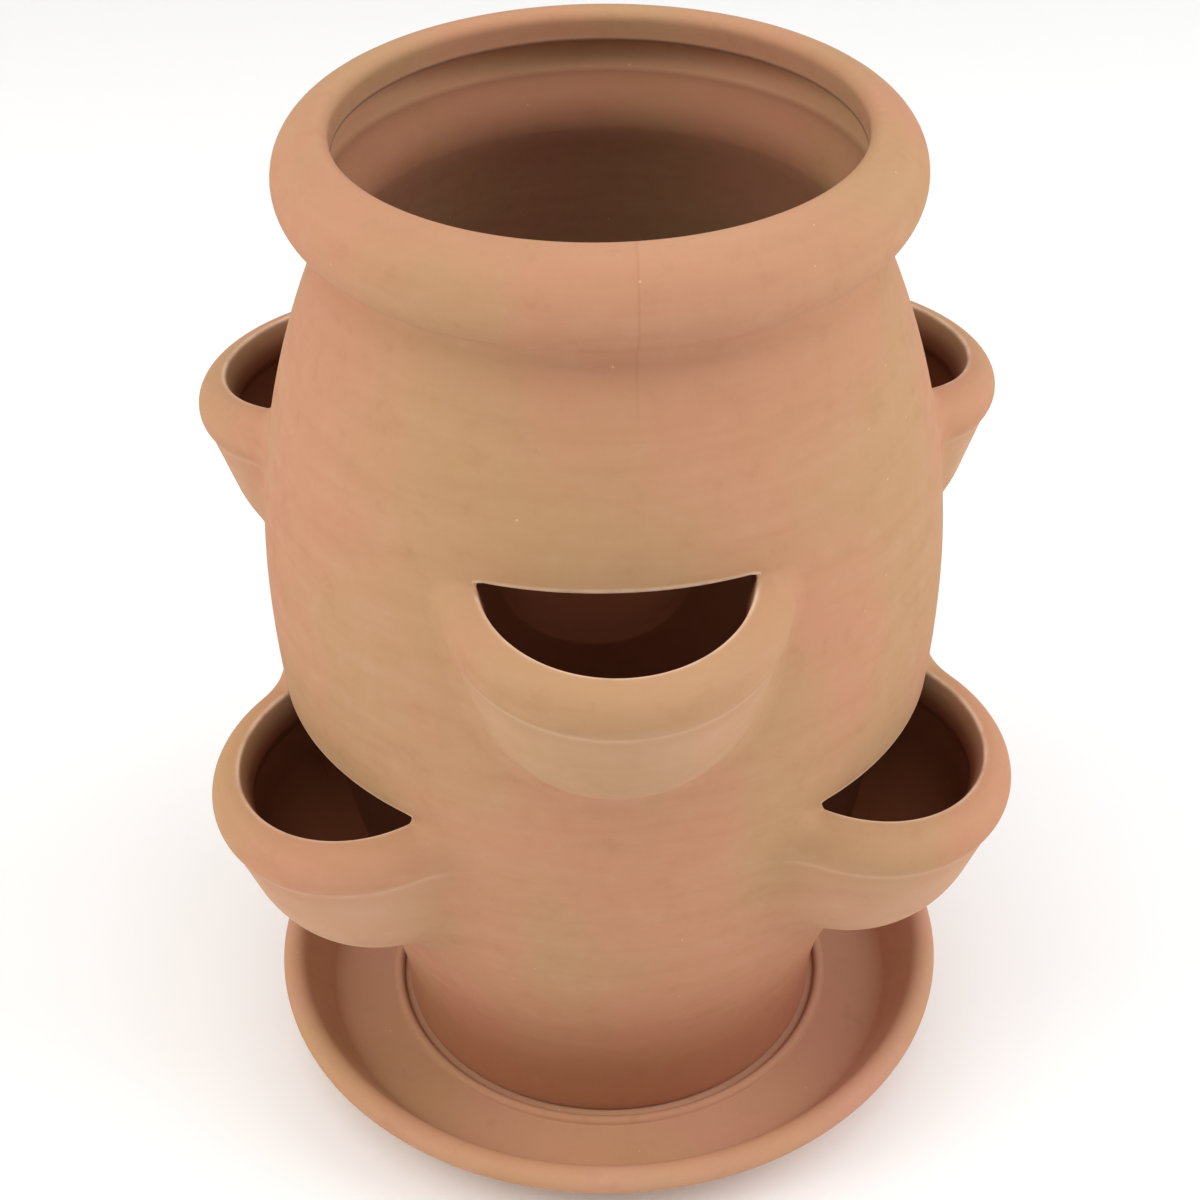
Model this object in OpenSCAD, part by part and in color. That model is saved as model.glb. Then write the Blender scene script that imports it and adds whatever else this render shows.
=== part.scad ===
// Strawberry jar planter: an unglazed clay jar with six planting pockets in two
// staggered tiers, which stands in a round drip saucer and lifts out of it.
// The origin is the centre of the saucer's underside. +Z is up and the front is -Y.
// Heights in the jar are measured from its foot.

/* [Barrel] */
// Height of the jar from foot to rim
jar_h = 356; // [297:1:430]
// Diameter of the belly, the widest part of the barrel
belly_d = 228; // [190:1:274]
// Height of the belly
belly_h = 198; // [165:1:240]
// Diameter of the foot
foot_d = 155; // [129:1:186]
// Height where the hollow waist turns into the full belly
waist_h = 50; // [30:1:90]
// Thickness of the wall
wall = 10; // [7:0.5:12]
// Thickness of the floor
floor_t = 10; // [7:0.5:16]
// Rounding of the foot's lower edge
foot_round = 2; // [1:0.5:4]
// Diameter of the drain hole
drain_d = 22; // [12:1:30]

/* [Rolled rim] */
// Outer diameter of the rim
rim_d = 200; // [178:1:226]
// Thickness of the roll
rim_roll = 32; // [28:1:38]
// Diameter of the mouth
mouth_d = 163; // [150:1:170]
// Rounding of the mouth's upper edge
mouth_round = 4; // [2:0.5:6]
// Rounding of the crease under the roll
neck_round = 5.5; // [3:0.5:9]

/* [Pockets] */
// Turn from one pocket to the next, which is in the other tier (degrees)
pocket_step = 57.5; // [52:0.5:60]
// Height of the upper openings' straight top edge
upper_edge_h = 255.5; // [245:0.5:270]
// Height of the lower openings' straight top edge
lower_edge_h = 158; // [140:0.5:170]
// Distance of a pocket's centre inside the face of the barrel
pocket_inset = 12.5; // [6:0.5:18]
// Outward lean of a pocket (degrees)
pocket_lean = 9; // [0:0.5:14]
// Drop from the straight edge to the middle of the lip
lip_drop = 1.5; // [0:0.5:5]
// Diameter inside the lip
pocket_mouth_d = 82; // [69:1:90]
// Diameter across the collar
collar_d = 107; // [100:1:116]
// Radius of the collar's rolled section
collar_round = 17.5; // [14:0.5:21]
// Depth of the band inside the lip
lip_band = 12; // [6:1:20]
// Narrowing of that band towards its lower edge
lip_taper = 2.5; // [1:0.5:4]
// Outer diameter of the bowl below the collar
bowl_d = 94.5; // [86:0.5:100]
// Outside depth from the lip to the bottom of the bowl
pocket_deep = 76; // [68:1:88]
// Thickness of the bowl's wall
pocket_wall = 8; // [5:0.5:10]

/* [Saucer] */
// Outer diameter of the saucer
saucer_d = 251; // [235:1:300]
// Height of the saucer
saucer_h = 29; // [24:0.5:40]
// Thickness of the saucer's floor
saucer_floor = 9; // [6:0.5:12]
// Diameter of the flat inside the saucer
saucer_flat_d = 211; // [185:1:218]
// Diameter of the underside
saucer_base_d = 206; // [180:1:214]
// Thickness of the saucer's rounded rim
saucer_rim = 9.5; // [7:0.5:12]
// Rounding between the saucer's floor and wall
saucer_round = 6; // [3:0.5:10]
// Rounding of the underside's edge
base_round = 3; // [1:0.5:5]
// Gap all round between the foot and the raised ring
seat_gap = 2.2; // [1:0.1:4]
// Width of the raised ring
ring_w = 4.2; // [3:0.1:7]
// Height of the raised ring
ring_h = 2; // [1:0.1:2.1]

/* [Hidden] */
$fn = 180;
clay = "#C78F6C";
pocket_clay = "#CE9775";
// Length by which a cutter runs past what it cuts
past = 1;
// Lap between two curves of a profile that run into each other, so that they surely cross
lap = 0.01;
// Straight steps that make up each long arc of the barrel, and the collar's round section
steps = 12;
collar_steps = 30;
// Turn from a pocket back to the seam of the barrel that trims it, clear of the pocket
trim_seam = 135;

// Barrel profile. A hollow arc leaves the foot upright, and a full arc, tangent to it
// at turn_h, reaches the belly upright. A third arc leans in from there to the neck.
foot_r = foot_d / 2;
belly_r = belly_d / 2;
lean_lower = 2 * atan((belly_r - foot_r) / (belly_h - foot_round));
turn_h = foot_round + waist_h;
waist_arc = waist_h / sin(lean_lower);
waist_mid = [foot_r + waist_arc, foot_round];
belly_arc = (belly_h - turn_h) / sin(lean_lower);
belly_mid = [belly_r - belly_arc, belly_h];

// Rolled rim. The neck arc runs to the lowest point of the roll, and a small circle
// that touches both rounds the crease between them.
roll_r = rim_roll / 2;
roll_mid = [rim_d / 2 - roll_r, jar_h - roll_r];
neck = roll_mid - [0, roll_r];
neck_arc = arc_through(belly_r - neck.x, neck.y - belly_h);
neck_mid = [belly_r - neck_arc, belly_h];
crease = meet(neck_mid, neck_arc + neck_round, roll_mid, roll_r + neck_round);
groove_r = roll_r - wall;
mouth_r = mouth_d / 2;

// Pocket profile, in the pocket's own frame: height 0 is the plane of its inner edge.
lip_r = pocket_mouth_d / 2;
collar_mid_r = collar_d / 2 - collar_round;
collar_mid = [collar_mid_r, -sqrt(pow(collar_round, 2) - pow(lip_r - collar_mid_r, 2))];
bowl_r = bowl_d / 2;
bowl_mid = [0, bowl_r - pocket_deep];
hollow_r = bowl_r - pocket_wall;

// Saucer profile.
saucer_rim_mid = [saucer_d / 2 - saucer_rim / 2, saucer_h - saucer_rim / 2];
saucer_toe = [saucer_base_d / 2, 0];
saucer_heel = [saucer_flat_d / 2, saucer_floor];
saucer_out = tangent_point(saucer_toe, saucer_rim_mid, saucer_rim / 2, -1);
saucer_in = tangent_point(saucer_heel, saucer_rim_mid, saucer_rim / 2, 1);
ring_mid_r = foot_r + seat_gap + ring_w / 2;
ring_arc = arc_through(ring_h, ring_w / 2);

// Radius of the arc that leaves one end upright and gains "rise" over "run" along it
function arc_through(rise, run) = (pow(run, 2) + pow(rise, 2)) / (2 * rise);
// Unit vector from p to q
function heading(p, q) = (q - p) / norm(q - p);
// Point at distance s from p towards q
function toward(p, q, s) = p + s * heading(p, q);
// Where two circles cross, on the right-hand side of the way from the first to the second
function meet(p, r, q, s) =
    let (gap = norm(q - p), u = heading(p, q), a = (r * r - s * s + gap * gap) / (2 * gap))
    p + a * u + sqrt(r * r - a * a) * [u.y, -u.x];
// Where a line from p touches a circle, on its left (side 1) or right (side -1)
function tangent_point(p, mid, r, side) =
    let (d = mid - p, a = atan2(d.y, d.x) + side * asin(r / norm(d)))
    p + sqrt(d * d - r * r) * [cos(a), sin(a)];
// Centre of the circle of radius r that touches two edges leaving corner p along u and v
function nest(p, u, v, r) = p + r / sin(acos(u * v) / 2) * (u + v) / norm(u + v);
// Points up an arc between two heights, on its outer (side 1) or its inner side (side -1)
function arc(mid, r, low, high, side) =
    [for (i = [0:steps]) let (h = low + (high - low) * i / steps)
        [mid.x + side * sqrt(r * r - pow(h - mid.y, 2)), h]];
// Radius of the barrel's face at height h
function barrel_r(h) =
    h < turn_h ? waist_mid.x - sqrt(pow(waist_arc, 2) - pow(max(h - foot_round, 0), 2))
    : h < belly_h ? belly_mid.x + sqrt(pow(belly_arc, 2) - pow(belly_h - h, 2))
    : neck_mid.x + sqrt(pow(neck_arc, 2) - pow(h - belly_h, 2));

// Disc at a place in a profile
module disc(mid, r) translate(mid) circle(r);

// Part of a disc between two heights
module disc_band(mid, r, low, high)
    intersection() {
        disc(mid, r);
        translate([0, low]) square([mid.x + r + past, high - low]);
    }

// Cutter that rounds the outside corner p of two edges that leave it along u and v
module round_off(p, u, v, r) {
    mid = nest(p, u, v, r);
    run = r / tan(acos(u * v) / 2);
    grow = (r + past) / r;
    difference() {
        polygon([mid, mid + grow * (p + run * u - mid), mid + grow * (p - mid),
                 mid + grow * (p + run * v - mid)]);
        disc(mid, r);
    }
}

// Fillet in the inside corner p of two edges that leave it along u and v
module fillet(p, u, v, r) {
    mid = nest(p, u, v, r);
    run = r / tan(acos(u * v) / 2);
    difference() {
        polygon([mid, p + run * u, p - (mid - p) / 4, p + run * v]);
        disc(mid, r);
    }
}

// Everything inside the barrel's face, drawn in by inset, from the foot's rounding to the neck
module barrel_profile(inset) {
    turn = turn_h + inset * sin(lean_lower);
    polygon(concat([[0, foot_round]],
                   arc(waist_mid, waist_arc + inset, foot_round, turn, -1),
                   arc(belly_mid, belly_arc - inset, turn, belly_h, 1),
                   arc(neck_mid, neck_arc - inset, belly_h, neck.y, 1),
                   [[0, neck.y]]));
}

// The foot's short upright band with its rounded lower edge
module foot_profile()
    difference() {
        square([foot_r, foot_round]);
        round_off([foot_r, 0], [-1, 0], [0, 1], foot_round);
    }

// The roll, the neck inside it and the fillet in the crease between them
module rim_profile() {
    translate([0, neck.y]) square([neck.x, roll_r]);
    disc(roll_mid, roll_r);
    difference() {
        polygon([neck, toward(neck_mid, crease, neck_arc), crease, toward(roll_mid, crease, roll_r)]);
        disc(crease, neck_round + lap);
    }
}

// Inside of the jar: the barrel's hollow, the narrow throat and the groove behind the lip
module hollow_profile() {
    low = toward(neck_mid, crease, neck_arc - wall);
    high = toward(roll_mid, crease, groove_r);
    difference() {
        union() {
            barrel_profile(wall);
            polygon([[0, low.y], low, crease, high, roll_mid, [0, roll_mid.y]]);
            disc(roll_mid, groove_r);
        }
        disc(crease, neck_round + wall + lap);
        square([belly_r, floor_t]);
    }
}

// Cutter for the mouth, with the roundover on its upper edge
module mouth_profile() {
    inner_r = mouth_r + mouth_round;
    mid = [inner_r, roll_mid.y + sqrt(pow(roll_r - mouth_round, 2) - pow(inner_r - roll_mid.x, 2))];
    translate([0, roll_mid.y]) square([mouth_r, roll_r + past]);
    difference() {
        polygon([mid, toward(roll_mid, mid, roll_r + past), [0, jar_h + past], [0, mid.y]]);
        disc(mid, mouth_round + lap);
    }
}

// Outline of a pocket before it is hollowed: a rolled collar over a round bowl
module cup_profile() {
    polygon([for (i = [1:collar_steps]) let (a = 360 * i / collar_steps)
        collar_mid + collar_round * [cos(a), sin(a)]]);
    difference() {
        disc_band(bowl_mid, bowl_r, -pocket_deep, 0);
        translate([-bowl_r, -pocket_deep]) square([bowl_r, pocket_deep]);
    }
}

// Hollow of a pocket: a tapered band inside the lip, a step and the bowl below it
module cup_hollow_profile() {
    top = collar_round;
    polygon([[0, bowl_mid.y], [hollow_r, bowl_mid.y], [hollow_r, -lip_band],
             [lip_r - lip_taper, -lip_band], [lip_r, 0], [lip_r, top], [0, top]]);
    disc_band(bowl_mid, hollow_r, bowl_mid.y - hollow_r, bowl_mid.y);
}

// Puts what is drawn in a pocket's own frame at its place on the barrel
module at_pocket(turn, edge_h)
    rotate(turn)
        translate([0, pocket_inset - barrel_r(edge_h), edge_h - lip_drop])
            rotate([pocket_lean, 0, 0])
                children();

// What a pocket opens in the wall: its own hollow, up to the straight top edge
module wall_opening(turn, edge_h)
    difference() {
        at_pocket(turn, edge_h) rotate_extrude() cup_hollow_profile();
        translate([-belly_d, -belly_d, edge_h]) cube([2 * belly_d, 2 * belly_d, jar_h]);
    }

// A planting pocket, which seats on the barrel's curved face
module pocket(turn, edge_h)
    color(pocket_clay)
        translate([0, 0, saucer_floor])
            difference() {
                difference() {
                    at_pocket(turn, edge_h) rotate_extrude() cup_profile();
                    rotate(turn - trim_seam) rotate_extrude() barrel_profile(0);
                }
                at_pocket(turn, edge_h) rotate_extrude() cup_hollow_profile();
            }

// The jar without its pockets. Its profile is turned from between two openings.
module jar_body()
    color(clay)
        translate([0, 0, saucer_floor])
            difference() {
                rotate(pocket_step)
                    rotate_extrude()
                        difference() {
                            union() {
                                foot_profile();
                                barrel_profile(0);
                                rim_profile();
                            }
                            hollow_profile();
                            mouth_profile();
                        }
                for (side = [-1, 1]) {
                    wall_opening(side * 2 * pocket_step, upper_edge_h);
                    wall_opening(side * pocket_step, lower_edge_h);
                }
                wall_opening(0, upper_edge_h);
                wall_opening(180, lower_edge_h);
                translate([0, 0, -past]) cylinder(d = drain_d, h = floor_t + 2 * past);
            }

// The drip saucer, with the raised ring that the foot stands in
module saucer()
    color(clay)
        rotate_extrude() {
            difference() {
                union() {
                    polygon([[0, 0], saucer_toe, saucer_out, saucer_rim_mid, saucer_in, saucer_heel,
                             [0, saucer_floor]]);
                    disc(saucer_rim_mid, saucer_rim / 2);
                    fillet(saucer_heel, [-1, 0], heading(saucer_heel, saucer_in), saucer_round);
                }
                round_off(saucer_toe, [-1, 0], heading(saucer_toe, saucer_out), base_round);
            }
            disc_band([ring_mid_r, saucer_floor + ring_h - ring_arc], ring_arc,
                      saucer_floor, saucer_floor + ring_h);
        }

saucer();
jar_body();
pocket(0, upper_edge_h);  // pocket_upper_front
pocket(-2 * pocket_step, upper_edge_h);  // pocket_upper_back_left
pocket(2 * pocket_step, upper_edge_h);  // pocket_upper_back_right
pocket(-pocket_step, lower_edge_h);  // pocket_lower_front_left
pocket(pocket_step, lower_edge_h);  // pocket_lower_front_right
pocket(180, lower_edge_h);  // pocket_lower_back
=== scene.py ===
"""Looks of the strawberry jar planter: unglazed clay barrel, six pockets and a drip saucer.

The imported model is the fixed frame. Each of its solids is replaced by a thrown-clay surface of the
same form and place, with the soft edges, smeared joints and slight unevenness of a hand-finished pot.
Lengths in the classes are millimetres, as on a potter's drawing, and become metres in ``Shell.bake``.
Azimuths are degrees round the jar from the front (-Y) towards the viewer's right (+X).
"""

import logging
import math
from collections.abc import Callable
from dataclasses import dataclass, field, replace
from enum import Enum

import bpy
import numpy as np
from mathutils import Matrix, Vector

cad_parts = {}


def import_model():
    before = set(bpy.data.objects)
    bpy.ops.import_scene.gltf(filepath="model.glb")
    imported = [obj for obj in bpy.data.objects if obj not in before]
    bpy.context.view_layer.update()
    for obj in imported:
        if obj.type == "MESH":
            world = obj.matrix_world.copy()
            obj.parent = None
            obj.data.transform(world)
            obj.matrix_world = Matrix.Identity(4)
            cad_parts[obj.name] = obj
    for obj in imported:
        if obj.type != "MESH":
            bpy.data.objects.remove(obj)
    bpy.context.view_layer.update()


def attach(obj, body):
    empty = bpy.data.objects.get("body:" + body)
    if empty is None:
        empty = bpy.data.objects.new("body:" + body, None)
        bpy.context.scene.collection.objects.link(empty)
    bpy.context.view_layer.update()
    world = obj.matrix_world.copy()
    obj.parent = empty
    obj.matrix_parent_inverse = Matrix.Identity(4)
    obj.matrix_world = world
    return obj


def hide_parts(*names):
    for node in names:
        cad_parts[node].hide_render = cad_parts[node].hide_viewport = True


Array = np.ndarray
Point = tuple[float, float]
log = logging.getLogger("planter")

MM = 0.001
# Values painted on each mesh and read by its material: pale edge lines for rubbing and a painted highlight,
# painted shade inside the pot, and the pockets' pressed faces.
PAINTED = ("worn", "inside", "pressed")
# Steps of bisect, which leave 1 part in 2^36 of the way.
HALVINGS = 36
# Height of the saucer's floor, on which the jar's foot stands, in mm.
FOOT_Z = 9.0


# ---------- numeric helpers


def ease(x: Array, low: float, high: float) -> Array:
    """Smooth climb from 0 at low to 1 at high: 3t^2 - 2t^3, with t the share of the way, held to 0..1."""
    t = np.clip((x - low) / (high - low), 0.0, 1.0)
    return t * t * (3.0 - 2.0 * t)


def smooth_max(a: Array, b: Array, k: float) -> Array:
    """Larger of two fields, rounded over a width k where they meet.

    Formula: max(a, b) + h^2 k / 4, with h = (k - |a - b|) / k held above 0.

    Args:
        a: First field.
        b: Second field.
        k: Width of the rounding, in the fields' own unit.

    Returns:
        The rounded maximum.
    """
    h = np.maximum(k - np.abs(a - b), 0.0) / k
    return np.maximum(a, b) + h * h * k / 4.0


def arc(mid: Point, radius: float, start: float, end: float, step: float) -> Array:
    """Points (r, z) along a circular arc, about step mm apart.

    Args:
        mid: Centre of the arc.
        radius: Radius of the arc.
        start: Direction of the first point from the centre, in degrees.
        end: Direction of the last point, in degrees.
        step: Wanted distance between points.

    Returns:
        Array of shape (n, 2).
    """
    count = max(3, int(math.ceil(abs(math.radians(end - start)) * radius / step)) + 1)
    a = np.radians(np.linspace(start, end, count))
    return np.stack([mid[0] + radius * np.cos(a), mid[1] + radius * np.sin(a)], axis=-1)


def line(p: Point, q: Point, step: float) -> Array:
    """Points (r, z) along a straight line.

    Args:
        p: First point.
        q: Last point.
        step: Wanted distance between points, in mm.

    Returns:
        Array of shape (n, 2).
    """
    count = max(2, int(math.ceil(math.dist(p, q) / step)) + 1)
    t = np.linspace(0.0, 1.0, count)[:, None]
    return (1.0 - t) * np.array(p) + t * np.array(q)


def bend(start: Array, pull: Array, end: Array, t: Array | float) -> Array:
    """Points at t on the quadratic curve (1-t)^2 start + 2t(1-t) pull + t^2 end."""
    return (1.0 - t) ** 2 * start + 2.0 * t * (1.0 - t) * pull + t * t * end


def run_along(points: Array) -> Array:
    """Length from the first point of a run to each of its points, for one run or a stack of them."""
    steps = np.linalg.norm(np.diff(points, axis=-2), axis=-1)
    return np.concatenate([np.zeros((*steps.shape[:-1], 1)), np.cumsum(steps, axis=-1)], axis=-1)


def chain(*parts: Array) -> Array:
    """Joins runs of profile points.

    Args:
        parts: The runs in order, each of shape (n, 2).

    Returns:
        One run, without the doubled points where they meet.
    """
    points = np.concatenate(parts)
    keep = np.ones(len(points), bool)
    keep[1:] = np.linalg.norm(np.diff(points, axis=0), axis=1) > 1e-4
    return points[keep]


def direction(p: Point, q: Point) -> float:
    """Direction from p to q, in degrees."""
    return math.degrees(math.atan2(q[1] - p[1], q[0] - p[0]))


def bisect(outside: Callable[[Array], Array], low: Array, high: Array) -> Array:
    """Where a yes/no field turns from no at low to yes at high, for many rays at once.

    Args:
        outside: Gives True where the value lies beyond the edge.
        low: Values on the near side of the edge.
        high: Values on the far side of it.

    Returns:
        The crossing for each ray.
    """
    low, high = low.copy(), high.copy()
    for _ in range(HALVINGS):
        middle = (low + high) / 2.0
        beyond = outside(middle)
        high = np.where(beyond, middle, high)
        low = np.where(beyond, low, middle)
    return (low + high) / 2.0


def around(azimuth: Array, radius: Array, z: Array) -> Array:
    """Points at an azimuth, radius and height: x = r sin(a), y = -r cos(a)."""
    a = np.radians(azimuth)
    return np.stack(np.broadcast_arrays(radius * np.sin(a), -radius * np.cos(a), z), axis=-1)


def full_turn(columns: int) -> Array:
    """Azimuths of the columns of a grid that closes round the axis, in degrees, as one row."""
    return (np.arange(columns) * 360.0 / columns)[None, :]


def grid_faces(index: Array, closed: bool = True) -> Array:
    """Makes the quads of a grid.

    Args:
        index: Vertex numbers, with rows along a profile and columns round it.
        closed: Whether the last column joins the first.

    Returns:
        Vertex numbers of the quads, of shape (n, 4).
    """
    if closed:
        index = np.concatenate([index, index[:, :1]], axis=1)
    return np.stack([index[:-1, :-1], index[:-1, 1:], index[1:, 1:], index[1:, :-1]], axis=-1).reshape(-1, 4)


# ---------- clay shells


@dataclass
class Shell:
    """Vertices, faces and painted values of one clay piece, gathered before it becomes a mesh."""

    points: list[Array] = field(default_factory=list)
    faces: list[Array] = field(default_factory=list)
    paint: dict[str, list[Array]] = field(default_factory=lambda: {name: [] for name in PAINTED})
    normals: list[Array] = field(default_factory=list)
    count: int = 0

    def add(
        self,
        points: Array,
        worn: Array | float = 0.0,
        inside: Array | float = 0.0,
        pressed: Array | float = 0.0,
        normals: Array | None = None,
    ) -> Array:
        """Adds a block of vertices.

        Args:
            points: Array of shape (..., 3), in mm.
            worn: How pale the edge is there, 0 to 1, for rubbing and a painted highlight.
            inside: Painted shade inside the pot, 0 to 1, and 0 on its outer face.
            pressed: 1 on a pocket's own face and 0 on the barrel and where a pocket runs out on it.
            normals: Normals to shade with, each as long as its share from 0 to 1, or None for the mesh's own.

        Returns:
            The new vertices' numbers, in the block's own shape.
        """
        shape = points.shape[:-1]
        size = int(np.prod(shape))
        self.points.append(points.reshape(-1, 3))
        for name, value in zip(PAINTED, (worn, inside, pressed)):
            self.paint[name].append(np.broadcast_to(value, shape).reshape(-1))
        self.normals.append(np.zeros((size, 3)) if normals is None else normals.reshape(-1, 3))
        numbers = np.arange(self.count, self.count + size).reshape(shape)
        self.count += size
        return numbers

    def bake(self, name: str, shift: Callable[[Array], Array], weld: float = 0.002) -> bpy.types.Object:
        """Makes the mesh object, welded, smooth and in metres.

        Args:
            name: Name of the piece.
            shift: Moves the points by the unevenness of the hand.
            weld: Distance under which vertices become one, in mm.

        Returns:
            The new object, at the origin.
        """
        points = shift(np.concatenate(self.points))
        places = np.round(points / weld).astype(np.int64)
        _, first, number = np.unique(places, axis=0, return_index=True, return_inverse=True)
        quads, triangles = self.sound_faces(number.reshape(-1)[np.concatenate(self.faces)])
        corners = np.concatenate([quads.reshape(-1), triangles.reshape(-1)])
        starts = np.concatenate([np.arange(len(quads)) * 4, len(quads) * 4 + np.arange(len(triangles)) * 3])
        mesh = bpy.data.meshes.new(name)
        mesh.vertices.add(len(first))
        mesh.vertices.foreach_set("co", (points[first] * MM).astype(np.float32).reshape(-1))
        mesh.loops.add(len(corners))
        mesh.loops.foreach_set("vertex_index", corners.astype(np.int32))
        mesh.polygons.add(len(starts))
        mesh.polygons.foreach_set("loop_start", starts.astype(np.int32))
        mesh.update(calc_edges=True)
        mesh.validate()
        mesh.polygons.foreach_set("use_smooth", np.ones(len(mesh.polygons), bool))
        for key, values in self.paint.items():
            layer = mesh.attributes.new(key, "FLOAT", "POINT")
            layer.data.foreach_set("value", np.concatenate(values)[first].astype(np.float32))
        mesh.update()
        self.set_normals(mesh, np.concatenate(self.normals)[first])
        piece = bpy.data.objects.new(name, mesh)
        bpy.context.scene.collection.objects.link(piece)
        return piece

    @staticmethod
    def sound_faces(faces: Array) -> tuple[Array, Array]:
        """Sorts welded faces: quads, and triangles from quads with one doubled corner. Flat ones go.

        Args:
            faces: Vertex numbers of the welded quads, of shape (n, 4).

        Returns:
            The quads, of shape (q, 4), and the triangles, of shape (t, 3).
        """
        same_next = faces == np.roll(faces, -1, axis=1)
        doubled = same_next.sum(axis=1)
        open_faces = (faces[:, 0] != faces[:, 2]) & (faces[:, 1] != faces[:, 3])
        folded = (doubled == 1) & open_faces
        return faces[(doubled == 0) & open_faces], faces[folded][~same_next[folded]].reshape(-1, 3)

    @staticmethod
    def set_normals(mesh: bpy.types.Mesh, wanted: Array) -> None:
        """Shades each vertex with its wanted normal in the share of its length, and its own in the rest."""
        if wanted.any():
            own = np.empty(len(wanted) * 3, np.float32)
            mesh.vertex_normals.foreach_get("vector", own)
            share = np.linalg.norm(wanted, axis=-1, keepdims=True)
            mixed = wanted + (1.0 - share) * own.reshape(-1, 3)
            mesh.normals_split_custom_set_from_vertices(mixed.tolist())


@dataclass(frozen=True)
class ThrowingHand:
    """Slight unevenness of a pot shaped by hand, drawn inwards only so that the pot keeps its size."""

    depth: float = 0.0035

    def shift(self, points: Array) -> Array:
        """Draws points towards the axis by up to the depth, in two slow waves that climb round the pot.

        Formula: (x, y) scaled by 1 - depth (1 + 0.6 sin(2a + 0.7 + z/95) + 0.4 sin(3a + 2.1 - z/61)) / 2,
        with a the azimuth and z the height in mm.

        Args:
            points: Array of shape (n, 3), in mm.

        Returns:
            The moved points.
        """
        a = np.arctan2(points[:, 0], -points[:, 1])
        z = points[:, 2]
        wave = 0.6 * np.sin(2.0 * a + 0.7 + z / 95.0) + 0.4 * np.sin(3.0 * a + 2.1 - z / 61.0)
        scale = 1.0 - self.depth * (1.0 + wave) / 2.0
        return np.stack([points[:, 0] * scale, points[:, 1] * scale, z], axis=-1)


# ---------- form of the jar


@dataclass(frozen=True)
class BarrelForm:
    """Sizes of the barrel and its rolled rim, in mm, with heights measured from the jar's foot."""

    height: float = 356.0
    belly: float = 114.0
    belly_height: float = 198.0
    foot: float = 77.5
    waist_height: float = 50.0
    wall: float = 10.0
    floor: float = 10.0
    foot_round: float = 2.0
    drain: float = 11.0
    rim: float = 100.0
    roll: float = 16.0
    mouth: float = 81.5
    mouth_round: float = 4.0
    neck_round: float = 5.5

    @property
    def lean(self) -> float:
        """Angle at which the waist's arc passes into the belly's, in radians."""
        return 2.0 * math.atan((self.belly - self.foot) / (self.belly_height - self.foot_round))

    @property
    def turn_height(self) -> float:
        """Height where the hollow waist turns into the full belly."""
        return self.foot_round + self.waist_height

    @property
    def roll_mid(self) -> Point:
        """Centre of the rim's roll."""
        return self.rim - self.roll, self.height - self.roll

    @property
    def neck_arc(self) -> tuple[Point, float]:
        """Centre and radius of the arc from the belly to the lowest point of the roll."""
        run = self.roll_mid[1] - self.roll - self.belly_height
        rise = self.belly - self.roll_mid[0]
        radius = (run * run + rise * rise) / (2.0 * rise)
        return (self.belly - radius, self.belly_height), radius

    @property
    def crease(self) -> Point:
        """Centre of the small circle that rounds the crease between neck and roll."""
        (mx, mz), radius = self.neck_arc
        rx, rz = self.roll_mid
        near, far = radius + self.neck_round, self.roll + self.neck_round
        gap = math.dist((mx, mz), (rx, rz))
        ux, uz = (rx - mx) / gap, (rz - mz) / gap
        along = (near * near - far * far + gap * gap) / (2.0 * gap)
        side = math.sqrt(near * near - along * along)
        return mx + along * ux + side * uz, mz + along * uz - side * ux

    def radius(self, z: Array, inset: float = 0.0) -> Array:
        """Radius of the barrel's face.

        Formula: three tangent arcs, hollow up to the turn, full up to the belly and leaning in above it.

        Args:
            z: Heights above the foot.
            inset: How far the face is drawn in, square to itself.

        Returns:
            The radius at each height.
        """
        z = np.asarray(z, float)
        waist = self.waist_height / math.sin(self.lean)
        full = (self.belly_height - self.turn_height) / math.sin(self.lean)
        (neck_x, _), neck = self.neck_arc
        from_belly, up_waist = z - self.belly_height, np.clip(z - self.foot_round, 0.0, waist)
        hollow = self.foot + waist - np.sqrt((waist + inset) ** 2 - up_waist**2)
        swell = self.belly - full + np.sqrt(np.maximum((full - inset) ** 2 - from_belly**2, 0.0))
        upper = neck_x + np.sqrt(np.maximum((neck - inset) ** 2 - from_belly**2, 0.0))
        turn = self.turn_height + inset * math.sin(self.lean)
        return np.where(z < turn, hollow, np.where(z < self.belly_height, swell, upper))

    def slope(self, z: Array) -> Array:
        """Change of the face's radius with height, over the nearest millimetre."""
        return self.radius(z + 0.5) - self.radius(z - 0.5)


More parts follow.
